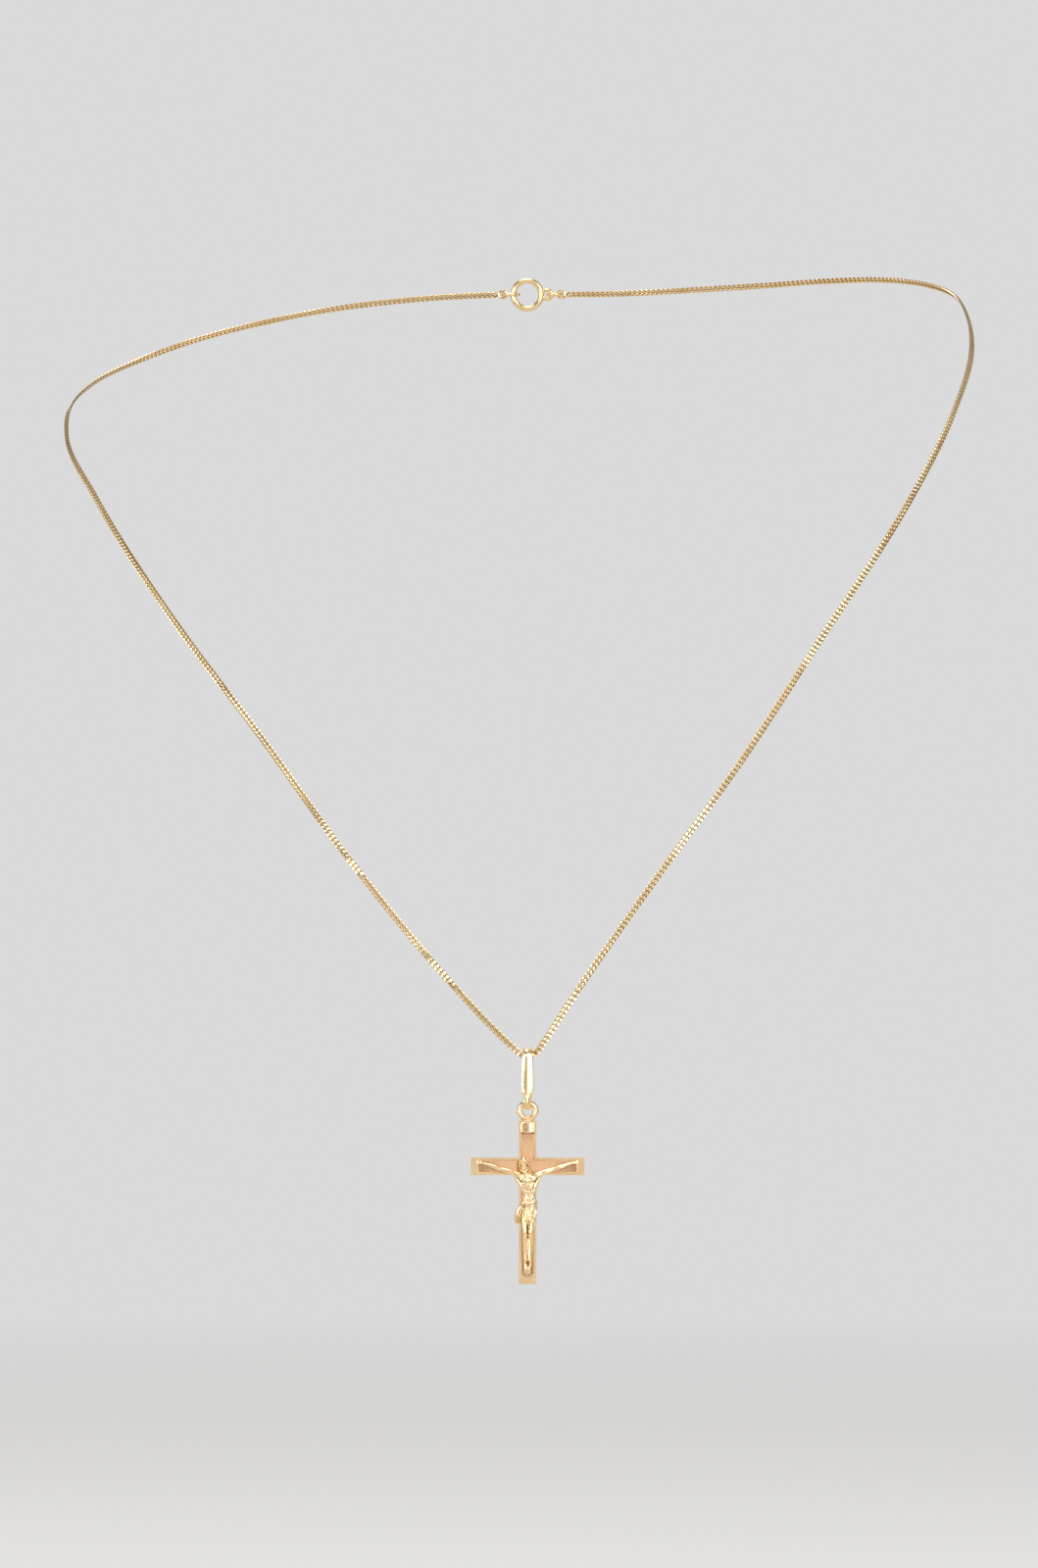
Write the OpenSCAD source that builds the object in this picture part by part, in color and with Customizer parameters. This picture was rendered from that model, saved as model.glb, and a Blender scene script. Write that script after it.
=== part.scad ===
// Crucifix pendant on a fine curb chain, in the form it has when worn.
// Origin: the nape of the neck, at the centre of the ring clasp. +Z up, the wearer faces -Y.

/* [Chain] */
// Width of the fine curb chain
chain_w = 1.0; // [0.8:0.05:1.2]
// Wire of the small soldered link at each end of the chain
end_link_wire = 0.4; // [0.3:0.05:0.5]

/* [Clasp] */
// Mean radius of the ring clasp
clasp_r = 2.2; // [2:0.1:3]
// Wire of the ring clasp
clasp_wire = 0.9; // [0.7:0.05:1.1]
// Wire of the tab eye on the side of the clasp
tab_wire = 0.5; // [0.4:0.05:0.6]
// Radius of the hole in the tab eye
tab_hole_r = 0.5; // [0.5:0.05:0.8]
// Wire of the two rings between the chain and the clasp
ring_wire = 0.5; // [0.4:0.05:0.55]

/* [Bail] */
// Drop from the chain's centre to the centre of the bail's lower bend
bail_drop = 7.0; // [5.5:0.1:9]
// Width of the strip where it goes over the chain
bail_top_w = 1.4; // [1:0.05:1.45]
// Width of the strip at its widest
bail_w = 1.8; // [1.5:0.05:2.4]
// Height of the widest place below the chain's centre
bail_wide_drop = 4.2; // [3:0.1:5]
// Width of the strip at its lower bend
bail_foot_w = 0.8; // [0.6:0.05:1]
// Thickness of the strip
bail_t = 0.35; // [0.25:0.05:0.45]

/* [Eye] */
// Wire of the eye that stands on the cross
eye_wire = 0.9; // [0.7:0.05:1.1]
// Depth to which the eye is soldered into the top of the cross
eye_root = 0.2; // [0.1:0.05:0.3]

/* [Cross] */
// Height of the cross without its eye
cross_h = 24.6; // [22:0.1:30]
// Width of the cross over both arms
cross_w = 17.1; // [15:0.1:22]
// Width of each bar
bar_w = 2.65; // [2.3:0.05:3.2]
// Depth of each bar, front to back
bar_d = 1.1; // [0.9:0.05:1.6]
// Drop from the top of the cross to the centre line of its arms
arm_drop = 6.9; // [6.2:0.1:8.5]
// Width of the polished rim round the front
rim_w = 0.35; // [0.25:0.05:0.45]
// Length of the plain end block that stops the field at the foot and at both arms
end_block = 1.05; // [0.8:0.05:1.4]
// Depth of the matt field inside the rim
field_dip = 0.12; // [0.08:0.02:0.2]

/* [Title plate] */
// Width of the plain plate above the head
plate_w = 2.3; // [1.9:0.05:2.6]
// Height of the plate
plate_h = 1.5; // [1.2:0.05:1.8]
// Height of the plate's face above the rim
plate_rise = 0.25; // [0.15:0.05:0.4]
// Drop from the top of the cross to the middle of the plate
plate_drop = 1.05; // [0.9:0.05:1.6]

/* [Corpus] */
// Height of the figure from its crown to its toes
figure_h = 17.8; // [16:0.1:18.2]
// Height of the crown above the centre line of the arms
crown_rise = 1.35; // [1:0.05:1.8]
// Breadth of the figure across the chest
chest_w = 3.4; // [2.8:0.1:4]
// How far the chest stands out of the cross
relief = 1.15; // [0.8:0.05:1.5]
// Reach from the middle of the chest to each fingertip
arm_reach = 7.6; // [6.8:0.1:8]
// Thickness of the upper arm
arm_t = 0.9; // [0.7:0.05:1.1]
// Width of the head with its hair
head_w = 2.3; // [1.9:0.05:2.6]
// Height of the head from crown to beard
head_h = 2.35; // [2:0.05:2.7]
// How far the head leans towards the left arm of the cross
head_lean = 0.55; // [0.3:0.05:0.8]

/* [Hidden] */
$fn = 64;
gold = "#e0bd78";
pale_gold = "#ead09a";

// Clearances between pieces that hang in each other
link_play = 0.12; // between a ring and the wire it is threaded on
ring_play = 0.35; // spare radius inside an end ring that holds two wires
chain_play = 0.5; // from the chain's edge to the bail's upper bend
foot_play = 0.25; // from the eye's wire to the bail's lower bend
eye_side_play = 0.35; // from the bail's edge to the side of the eye's hole
bury = 0.3; // how deep the corpus and the plate run into the cross
skim = 0.01; // how far a cutting shape runs past what it cuts

// Ring clasp and its two end rings, worked out from the clasp's centre
ring_l_r = (clasp_wire + end_link_wire) / 2 + ring_play + ring_wire / 2;
ring_l_x = -clasp_r + clasp_wire / 2 + link_play + ring_wire / 2 - ring_l_r;
tab_r = tab_hole_r + tab_wire / 2;
tab_x = clasp_r + clasp_wire / 2 + tab_hole_r;
ring_r_r = (tab_wire + end_link_wire) / 2 + ring_play + ring_wire / 2;
ring_r_x = tab_x + tab_hole_r - link_play - ring_wire / 2 + ring_r_r;
end_link_r = ring_wire / 2 + link_play + end_link_wire / 2;
end_link_l_x = ring_l_x - ring_l_r;
end_link_r_x = ring_r_x + ring_r_r;

// Route of the chain's centre line: nape, left shoulder, bail, right shoulder, nape
NECK_LEFT = [
    [-14, -0.5, -0.5], [-28, -2.3, -2], [-41, -5.5, -4.5], [-52, -10, -7.5], [-61, -15.5, -11],
    [-67.5, -22, -14.5], [-71, -29, -18.5]
];
FRONT_LEFT = [
    [-71.3, -36, -23.2], [-66.3, -49, -33.2], [-54, -68, -52], [-40, -82, -70.5], [-26.5, -91, -89],
    [-12, -97, -106.5], [-4.3, -99.3, -114.7], [-2.4, -99.8, -116.5], [-1.2, -100, -117.5]
];
BEND = [[-0.5, -100, -117.9], [0, -100, -118], [0.5, -100, -117.9]];
FRONT_RIGHT = [
    [1.2, -100, -117.4], [2.6, -99.8, -115.6], [5.4, -99.3, -111.3], [18.5, -95.5, -92.5],
    [32, -90, -74], [44.5, -81.5, -55], [57, -70, -36], [65, -57, -21], [68.5, -45, -10.5],
    [68.3, -36, -5]
];
NECK_RIGHT = [
    [66.5, -28, -1.2], [62.5, -20.5, 0.8], [56, -14, 1.8], [47, -8.8, 1.8], [36.5, -4.8, 1.2],
    [25, -2, 0.6], [14, -0.5, 0.1]
];
ROUTE = concat(
    [[end_link_l_x - end_link_r, 0, 0]],
    NECK_LEFT, FRONT_LEFT, BEND, FRONT_RIGHT, NECK_RIGHT,
    [[end_link_r_x + end_link_r, 0, 0]]
);
hang = BEND[1];
chain_sides = 8;
steps = 2;

// Bail
bail_top_r = chain_w / 2 + chain_play;
bail_foot_r = eye_wire / 2 + foot_play;

// Eye and cross, measured down from the chain's centre in the bend
eye_hole_r = bail_foot_w / 2 + eye_side_play;
eye_r = eye_hole_r + eye_wire / 2;
eye_drop = bail_drop + eye_r;
cross_top = -eye_drop - eye_r - eye_wire / 2 + eye_root;
arm_z = cross_top - arm_drop;
cross_foot = cross_top - cross_h;
face_y = -bar_d / 2;

// Corpus
crown_z = arm_z + crown_rise;
arc_steps = 12;
fullness = 0.6;

// Columns: share of the form's height below the crown, shift to the right and half width as
// shares of its breadth, height above the cross as a share of the relief
BODY = [
    [0.100, -0.05, 0.14, 0.35],
    [0.128, -0.03, 0.28, 0.62],
    [0.158, 0.00, 0.42, 0.86],
    [0.200, 0.01, 0.48, 1.00],
    [0.245, 0.04, 0.41, 0.95],
    [0.300, 0.09, 0.29, 0.74],
    [0.350, 0.11, 0.28, 0.78],
    [0.400, 0.10, 0.33, 0.88],
    [0.470, 0.07, 0.35, 0.98],
    [0.545, 0.03, 0.32, 0.96],
    [0.555, 0.03, 0.26, 0.84],
    [0.630, 0.01, 0.25, 1.02],
    [0.700, 0.00, 0.23, 0.74],
    [0.790, 0.00, 0.19, 0.62],
    [0.870, 0.00, 0.15, 0.52],
    [0.895, 0.00, 0.16, 0.56],
    [0.925, 0.00, 0.19, 0.82],
    [0.975, 0.00, 0.17, 0.70],
    [1.000, 0.00, 0.11, 0.34]
];

// The knotted cloth at the hip, hanging to the left: columns as above
DRAPE = [
    [0.375, 0.02, 0.10, 0.86],
    [0.400, -0.18, 0.17, 1.02],
    [0.440, -0.30, 0.21, 0.96],
    [0.490, -0.36, 0.21, 0.82],
    [0.530, -0.37, 0.18, 0.66],
    [0.552, -0.36, 0.12, 0.45]
];

// A bowed head, its hair falling to both shoulders: columns as above, of the head's own size
HAIR = [
    [0.00, 0.03, 0.10, 0.34],
    [0.07, 0.02, 0.30, 0.60],
    [0.24, 0.00, 0.45, 0.78],
    [0.50, -0.02, 0.50, 0.74],
    [0.76, -0.04, 0.49, 0.64],
    [1.02, -0.06, 0.44, 0.52],
    [1.16, -0.06, 0.30, 0.36]
];
FACE = [
    [0.12, 0.00, 0.16, 0.80],
    [0.22, -0.01, 0.26, 1.00],
    [0.46, -0.03, 0.29, 1.12],
    [0.68, -0.05, 0.27, 1.16],
    [0.88, -0.07, 0.20, 1.16],
    [1.00, -0.08, 0.11, 1.02],
    [1.05, -0.08, 0.05, 0.84]
];

// Columns: share of the reach, rise and half thickness as shares of the arm's thickness,
// height above the cross as a share of the relief
ARM = [
    [0.10, -1.60, 0.50, 0.70],
    [0.20, -1.42, 0.60, 0.84],
    [0.34, -0.88, 0.50, 0.68],
    [0.50, -0.42, 0.42, 0.56],
    [0.62, -0.08, 0.45, 0.60],
    [0.80, 0.36, 0.32, 0.48],
    [0.88, 0.52, 0.30, 0.44],
    [0.94, 0.60, 0.44, 0.46],
    [1.00, 0.72, 0.26, 0.28]
];

function unit(v) = v / norm(v);

// Direction of the route at one of its points, the nearer neighbour counting more
function heading(p, i) =
    i == 0 ? unit(p[1] - p[0]) :
    i == len(p) - 1 ? unit(p[i] - p[i - 1]) :
    let (a = p[i] - p[i - 1], b = p[i + 1] - p[i])
    unit(a / norm(a) * norm(b) + b / norm(b) * norm(a));

// A point on the smooth curve between route points i and i + 1
function curve_point(p, i, t) =
    let (
        span = norm(p[i + 1] - p[i]),
        h1 = 2 * t * t * t - 3 * t * t + 1,
        h2 = t * t * t - 2 * t * t + t,
        h3 = 3 * t * t - 2 * t * t * t,
        h4 = t * t * t - t * t
    )
    h1 * p[i] + h2 * span * heading(p, i) + h3 * p[i + 1] + h4 * span * heading(p, i + 1);

function smooth_route(p) = concat(
    [for (i = [0:len(p) - 2], s = [0:steps - 1]) curve_point(p, i, s / steps)],
    [p[len(p) - 1]]
);

// A ring of points square to the path at its point i
function tube_ring(path, i, r) =
    let (
        t = heading(path, i),
        side = unit(cross(t, [0, 0, 1])),
        up = cross(side, t)
    )
    [for (k = [0:chain_sides - 1])
        let (a = (k + 0.5) * 360 / chain_sides)
        path[i] + r * (cos(a) * side + sin(a) * up)];

// Depth of a section's skin at one angle: flat inside the cross, rounded in front
function skin_y(rise, angle) = face_y + bury - (rise + bury) * pow(sin(angle), fullness);

// A section in the plane z
function level_section(x, z, half_w, rise) =
    [for (k = [0:arc_steps])
        let (a = 180 * k / arc_steps)
        [x + half_w * cos(a), skin_y(rise, a), z]];

// The same section turned upright, in the plane x
function upright_section(x, z, half_t, rise) =
    [for (k = [0:arc_steps])
        let (a = 180 * k / arc_steps)
        [x, skin_y(rise, a), z + half_t * cos(a)]];

// A closed skin over rings of equally many points
module loft(rings) {
    n = len(rings[0]);
    last = len(rings) - 1;
    polyhedron(
        points = [for (r = rings, p = r) p],
        faces = concat(
            [[for (k = [0:n - 1]) k]],
            [for (i = [0:last - 1], k = [0:n - 1])
                [i * n + k, (i + 1) * n + k, (i + 1) * n + (k + 1) % n, i * n + (k + 1) % n]],
            [[for (k = [n - 1:-1:0]) last * n + k]]
        )
    );
}

module ring(mean_r, wire) {
    rotate_extrude()
        translate([mean_r, 0])
            circle(d = wire);
}

module ring_facing_front(mean_r, wire) {
    rotate([90, 0, 0])
        ring(mean_r, wire);
}

// Two rounded ends and their common tangents, seen from the side and as wide as is asked
module teardrop(top_r, foot_r, width) {
    tilt = asin((top_r - foot_r) / bail_drop);
    rotate([90, 0, 90])
        translate([0, 0, -width / 2]) {
            cylinder(r = top_r, h = width);
            translate([0, -bail_drop, 0])
                cylinder(r = foot_r, h = width);
            linear_extrude(width)
                polygon([
                    [top_r * cos(tilt), -top_r * sin(tilt)],
                    [foot_r * cos(tilt), -bail_drop - foot_r * sin(tilt)],
                    [-foot_r * cos(tilt), -bail_drop - foot_r * sin(tilt)],
                    [-top_r * cos(tilt), -top_r * sin(tilt)]
                ]);
        }
}

// Front view of two crossing bars, with a distance kept from their sides and from their ends
module cross_outline(side, end) {
    translate([-bar_w / 2 + side, cross_foot + end])
        square([bar_w - 2 * side, cross_h - end - side]);
    translate([-cross_w / 2 + end, arm_z - bar_w / 2 + side])
        square([cross_w - 2 * end, bar_w - 2 * side]);
}

// Extrudes a front view from one depth to another
module slab(y_front, y_back) {
    translate([0, y_back, 0])
        rotate([90, 0, 0])
            linear_extrude(y_back - y_front)
                children();
}

module chain() {
    path = smooth_route(ROUTE);
    color(gold) {
        loft([for (i = [0:len(path) - 1]) tube_ring(path, i, chain_w / 2)]);
        translate([end_link_l_x, 0, 0])
            ring_facing_front(end_link_r, end_link_wire);
        translate([end_link_r_x, 0, 0])
            ring_facing_front(end_link_r, end_link_wire);
    }
}

module clasp() {
    color(gold) {
        ring_facing_front(clasp_r, clasp_wire);
        translate([tab_x, 0, 0])
            ring_facing_front(tab_r, tab_wire);
    }
}

module end_ring_left() {
    color(gold)
        translate([ring_l_x, 0, 0])
            ring(ring_l_r, ring_wire);
}

module end_ring_right() {
    color(gold)
        translate([ring_r_x, 0, 0])
            ring(ring_r_r, ring_wire);
}

module bail_front_view() {
    top = bail_top_r + bail_t + skim;
    foot = -bail_drop - bail_foot_r - bail_t - skim;
    polygon([
        [bail_top_w / 2, top], [bail_top_w / 2, 0], [bail_w / 2, -bail_wide_drop],
        [bail_foot_w / 2, -bail_drop], [bail_foot_w / 2, foot],
        [-bail_foot_w / 2, foot], [-bail_foot_w / 2, -bail_drop],
        [-bail_w / 2, -bail_wide_drop], [-bail_top_w / 2, 0], [-bail_top_w / 2, top]
    ]);
}

module bail() {
    reach = bail_top_r + bail_t + skim;
    color(pale_gold)
        translate(hang)
            intersection() {
                difference() {
                    teardrop(bail_top_r + bail_t, bail_foot_r + bail_t, bail_w);
                    teardrop(bail_top_r, bail_foot_r, bail_w + skim);
                }
                slab(-reach, reach)
                    bail_front_view();
            }
}

module cross_bars() {
    difference() {
        slab(face_y, bar_d / 2)
            cross_outline(0, 0);
        slab(face_y - skim, face_y + field_dip)
            cross_outline(rim_w, end_block);
    }
}

module title_plate() {
    slab(face_y - plate_rise, face_y + bury)
        translate([-plate_w / 2, cross_top - plate_drop - plate_h / 2])
            square([plate_w, plate_h]);
}

// A rounded form that stands out of the cross, from a table of level sections below the crown
module relief_loft(table, x, height, breadth) {
    loft([for (row = table) level_section(
        x + row[1] * breadth, crown_z - row[0] * height, row[2] * breadth, row[3] * relief)]);
}

module right_arm() {
    loft([for (row = ARM) upright_section(
        row[0] * arm_reach, arm_z + row[1] * arm_t, row[2] * arm_t, row[3] * relief)]);
}

module corpus() {
    relief_loft(BODY, 0, figure_h, chest_w);
    relief_loft(DRAPE, 0, figure_h, chest_w);
    relief_loft(HAIR, -head_lean, head_h, head_w);
    relief_loft(FACE, -head_lean, head_h, head_w);
    right_arm();
    mirror([1, 0, 0])
        right_arm();
}

module crucifix() {
    color(gold)
        translate(hang) {
            translate([0, 0, -eye_drop])
                ring_facing_front(eye_r, eye_wire);
            cross_bars();
            title_plate();
            corpus();
        }
}

chain();
clasp();
end_ring_left();
end_ring_right();
bail();
crucifix();
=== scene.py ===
import math

import bmesh
import bpy
import numpy
from mathutils import Euler, Matrix, Vector
from mathutils.kdtree import KDTree


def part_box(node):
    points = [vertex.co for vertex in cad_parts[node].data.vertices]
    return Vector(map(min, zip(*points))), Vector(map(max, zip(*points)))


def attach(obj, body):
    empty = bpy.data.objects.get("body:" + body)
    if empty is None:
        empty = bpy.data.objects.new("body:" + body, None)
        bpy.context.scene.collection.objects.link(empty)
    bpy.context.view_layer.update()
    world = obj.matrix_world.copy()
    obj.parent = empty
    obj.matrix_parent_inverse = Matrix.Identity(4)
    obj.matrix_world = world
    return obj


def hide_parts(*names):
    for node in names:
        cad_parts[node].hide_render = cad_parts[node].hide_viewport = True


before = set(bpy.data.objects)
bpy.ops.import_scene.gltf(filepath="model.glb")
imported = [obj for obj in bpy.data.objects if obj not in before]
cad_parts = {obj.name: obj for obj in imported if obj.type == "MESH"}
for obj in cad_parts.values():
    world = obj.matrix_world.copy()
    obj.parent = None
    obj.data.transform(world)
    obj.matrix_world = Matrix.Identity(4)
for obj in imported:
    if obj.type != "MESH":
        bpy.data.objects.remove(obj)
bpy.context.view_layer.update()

# Shapes are made in millimetres and scaled to metres as each piece is finished
mm = 0.001
up = Vector((0, 0, 1))
hang = Vector((0, -100, -118))  # the chain's centre in the bail


def placed(name, data):
    # a new object, linked into the scene
    thing = bpy.data.objects.new(name, data)
    bpy.context.scene.collection.objects.link(thing)
    return thing


# camera, level with the middle of the necklace and a long way off
photo = {
    "distance": 2200,  # camera to pendant, mm
    "aimX": -1.3, "aimZ": -77,  # where the view is centred, mm
    "viewHeight": 236,  # mm of the pendant's plane in the picture's height
    "sensor": 36,  # its height, mm
    "clipEnd": 50,  # m
}


def makeCamera():
    lens = bpy.data.cameras.new("camera")
    camera = placed("camera", lens)
    lens.sensor_fit = "VERTICAL"
    lens.sensor_height = photo["sensor"]
    lens.lens = photo["sensor"] * photo["distance"] / photo["viewHeight"]
    lens.clip_end = photo["clipEnd"]
    camera.location = Vector((photo["aimX"], hang.y - photo["distance"], photo["aimZ"])) * mm
    camera.rotation_euler = (math.radians(90), 0, 0)
    bpy.context.scene.camera = camera
    print("camera made")


makeCamera()


# shader maths: a wire is an output socket that can be added, multiplied and so on
class Wire:
    def __init__(self, maker, socket):
        self.maker = maker
        self.socket = socket

    def sum(self, operation, first, second):
        return self.maker.node("ShaderNodeMath", {"operation": operation}, {0: first, 1: second})

    def output(self, name):
        return Wire(self.maker, self.socket.node.outputs[name])

    def __add__(self, other):
        return self.sum("ADD", self, other)

    def __sub__(self, other):
        return self.sum("SUBTRACT", self, other)

    def __rsub__(self, other):
        return self.sum("SUBTRACT", other, self)

    def __mul__(self, other):
        return self.sum("MULTIPLY", self, other)

    __radd__ = __add__
    __rmul__ = __mul__


class NodeMaker:
    def __init__(self, owner):
        self.owner = owner
        owner.use_nodes = True
        self.tree = owner.node_tree
        self.tree.nodes.clear()

    def node(self, kind, settings, sockets, output=0):
        made = self.tree.nodes.new(kind)
        for name, value in settings.items():
            setattr(made, name, value)
        for name, value in sockets.items():
            if isinstance(value, Wire):
                self.tree.links.new(value.socket, made.inputs[name])
            else:
                made.inputs[name].default_value = value
        return Wire(self, made.outputs[output]) if made.outputs else None

    def mix(self, amount, first, second):
        return self.node("ShaderNodeMix", {"data_type": "RGBA"}, {0: amount, 6: first, 7: second}, 2)

    def between(self, wire, low, high):
        return self.node("ShaderNodeMapRange", {"clamp": True}, {0: wire, 1: low, 2: high, 3: 0.0, 4: 1.0})

    def finish(self, surface, kind="ShaderNodeOutputMaterial"):
        self.node(kind, {}, {"Surface": surface})
        return self.owner


# finishes: polished gold, a redder tone in patches, and painted shade in the hollows
goldLook = {
    "chainGold": {
        "polish": (0.88, 0.66, 0.35, 1), "alloy": (0.83, 0.58, 0.28, 1), "hollowShade": (0.26, 0.13, 0.05, 1),
        "roughLow": 0.12, "roughHigh": 0.22, "hollowRough": 0.45, "scratch": 0.008, "wave": 0.1,
    },
    "fittingsGold": {
        "polish": (0.95, 0.71, 0.38, 1), "alloy": (0.92, 0.65, 0.31, 1), "hollowShade": (0.42, 0.24, 0.09, 1),
        "roughLow": 0.12, "roughHigh": 0.24, "hollowRough": 0.40, "scratch": 0.04, "wave": 0.4,
    },
    "bailGold": {
        "polish": (0.95, 0.72, 0.39, 1), "alloy": (0.94, 0.69, 0.35, 1), "hollowShade": (0.45, 0.26, 0.10, 1),
        "roughLow": 0.10, "roughHigh": 0.17, "hollowRough": 0.35, "scratch": 0.01, "wave": 0.05,
    },
    "crossGold": {
        "polish": (0.97, 0.73, 0.42, 1), "alloy": (0.95, 0.67, 0.36, 1), "hollowShade": (0.21, 0.09, 0.028, 1),
        "roughLow": 0.15, "roughHigh": 0.28, "hollowRough": 0.50, "scratch": 0.04, "wave": 0.6,
    },
}
goldNoise = {
    "cloudScale": 350.0, "fineScale": 2600.0,  # per metre
    "patches": (0.42, 0.62),  # the cloud's range for the alloy's tone
    "wear": (0.35, 0.70),  # the fine noise's range for worn polish
    "paintedShade": (0.08, 0.55),  # the hollow's range for painted shade
    "ragged": 0.2, "mostShade": 0.9,
    "bump": 0.0001,  # m
}
fieldLook = {
    # the colour near the head is painted shade, fading with the distance from the head
    "colour": (0.96, 0.69, 0.42, 1), "shadeNearHead": (0.87, 0.50, 0.28, 1),
    "head": (0, -0.1, -0.1345), "headShadeFade": (0.0015, 0.008),  # m
    "leastCover": 0.75,  # where the polish isn't worn
    "rough": 0.34, "grain": 0.02,
    "grainScale": 9000.0,  # per metre
}


def makeGold(name, hasField=False):
    look = goldLook[name]
    maker = NodeMaker(bpy.data.materials.new(name))
    place = maker.node("ShaderNodeTexCoord", {}, {}, "Object")
    cloud = maker.node(
        "ShaderNodeTexNoise", {}, {"Vector": place, "Scale": goldNoise["cloudScale"], "Detail": 3.0})
    fine = maker.node(
        "ShaderNodeTexNoise", {},
        {"Vector": place, "Scale": goldNoise["fineScale"], "Detail": 4.0, "Roughness": 0.65})
    hollowShade = maker.node("ShaderNodeAttribute", {"attribute_name": "hollowShade"}, {}, "Fac")
    patches = maker.between(cloud, *goldNoise["patches"])
    wear = maker.between(fine, *goldNoise["wear"])
    # how much shade is painted into the hollows, its edge made ragged by the fine noise
    shadeAmount = maker.between(hollowShade + (fine - 0.5) * goldNoise["ragged"], *goldNoise["paintedShade"])
    colour = maker.mix(patches, look["polish"], look["alloy"])
    rough = look["roughLow"] + wear * (look["roughHigh"] - look["roughLow"])
    height = cloud * look["wave"] + fine * look["scratch"]
    if hasField:
        field = maker.node("ShaderNodeAttribute", {"attribute_name": "field"}, {}, "Fac")
        grain = maker.node(
            "ShaderNodeTexVoronoi", {},
            {"Vector": place, "Scale": fieldLook["grainScale"], "Randomness": 1.0})
        # painted shade: the field grows darker and redder towards the head
        fromHead = maker.node(
            "ShaderNodeVectorMath", {"operation": "DISTANCE"}, {0: place, 1: fieldLook["head"]}, "Value")
        fade = maker.between(fromHead, *fieldLook["headShadeFade"])
        ground = maker.mix(fade, fieldLook["shadeNearHead"], fieldLook["colour"])
        cover = fieldLook["leastCover"] + wear * (1 - fieldLook["leastCover"])
        colour = maker.mix(field * cover, colour, ground)
        rough = rough + field * (fieldLook["rough"] - 0.5 * (look["roughLow"] + look["roughHigh"]))
        height = height + field * grain * fieldLook["grain"]
    # painted shade: the hollows are painted darker and browner
    colour = maker.mix(shadeAmount * goldNoise["mostShade"], colour, look["hollowShade"])
    rough = rough + shadeAmount * (look["hollowRough"] - look["roughLow"])
    bump = maker.node(
        "ShaderNodeBump", {}, {"Strength": 1.0, "Distance": goldNoise["bump"], "Height": height})
    return maker.finish(maker.node(
        "ShaderNodeBsdfPrincipled", {},
        {"Base Color": colour, "Roughness": rough, "Metallic": 1.0, "Normal": bump}))


chainGold = makeGold("chainGold")
fittingsGold = makeGold("fittingsGold")
bailGold = makeGold("bailGold")
crossGold = makeGold("crossGold", hasField=True)
print("finishes made")


# making meshes
def meshFrom(bm, name="part"):
    mesh = bpy.data.meshes.new(name)
    bm.to_mesh(mesh)
    bm.free()
    return mesh


def addCopy(bm, mesh, matrix):
    # a copy of a small mesh, set in place
    part = mesh.copy()
    part.transform(matrix)
    bm.from_mesh(part)
    bpy.data.meshes.remove(part)


def applied(mesh, *modifiers):
    # the mesh with modifiers applied: each is its type and a dictionary of settings
    holder = placed("holder", mesh)
    for kind, settings in modifiers:
        modifier = holder.modifiers.new(kind, kind)
        for key, value in settings.items():
            setattr(modifier, key, value)
    depsgraph = bpy.context.evaluated_depsgraph_get()
    depsgraph.update()
    result = bpy.data.meshes.new_from_object(holder.evaluated_get(depsgraph))
    bpy.data.objects.remove(holder)
    return result


def softened(width, angle):
    # a small bevel on edges sharper than an angle
    return ("BEVEL", {
        "width": width, "segments": 2, "limit_method": "ANGLE", "angle_limit": math.radians(angle)})


def joined(first, *others):
    # closed meshes made one solid
    for other in others:
        holder = placed("holder", other)
        first = applied(first, ("BOOLEAN", {"operation": "UNION", "solver": "MANIFOLD", "object": holder}))
        bpy.data.objects.remove(holder)
    return first


shadePerDepth = 2.5  # painted shade in a groove, for each mm of its depth


def carve(mesh, marks):
    # grooves in the front, or ridges where the depth is below 0, each a width, a depth and its points;
    # gives back the painted shade that they hold
    places, normals = (numpy.empty((len(mesh.vertices), 3)) for _ in range(2))
    mesh.vertices.foreach_get("co", places.ravel())
    mesh.vertices.foreach_get("normal", normals.ravel())
    facing = numpy.clip(normals[:, 1] * -2, 0, 1)
    grooveShade = numpy.zeros(len(places))
    flat = places[:, [0, 2]]
    for width, depth, *points in marks:
        away = numpy.full(len(flat), 99.0)
        for start, end in zip(points, points[1:] or points):
            along = numpy.subtract(end, start)
            share = numpy.clip((flat - start) @ along / max(along @ along, 1e-9), 0, 1)
            away = numpy.minimum(away, numpy.linalg.norm(flat - start - numpy.outer(share, along), axis=1))
        cut = depth * facing * numpy.exp(-(away / width) ** 2)
        places -= normals * cut[:, None]
        grooveShade = numpy.maximum(grooveShade, cut * shadePerDepth)
    mesh.vertices.foreach_set("co", places.ravel())
    mesh.update()
    return grooveShade


def sculpted(bm, voxel, smoothing, marks=(), keep=1.0):
    # overlapping forms run together as wax does, smoothed, carved, and thinned to a share of their faces;
    # the attribute tells how far each point lies in a hollow, from 0 to 1, at least a groove's painted shade;
    # the material paints shade by it
    mesh = applied(
        meshFrom(bm),
        ("REMESH", {"mode": "VOXEL", "voxel_size": voxel}),
        ("SMOOTH", {"factor": 0.5, "iterations": smoothing}))
    grooveShade = carve(mesh, marks)
    softer = applied(mesh, ("SMOOTH", {"factor": 0.5, "iterations": 24}))
    hollowShade = mesh.attributes.new("hollowShade", "FLOAT", "POINT")
    for place, soft, value, least in zip(mesh.vertices, softer.vertices, hollowShade.data, grooveShade):
        value.value = max(least, min(1.0, (soft.co - place.co).dot(place.normal) / voxel))
    return applied(mesh, ("DECIMATE", {"ratio": keep}))


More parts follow.
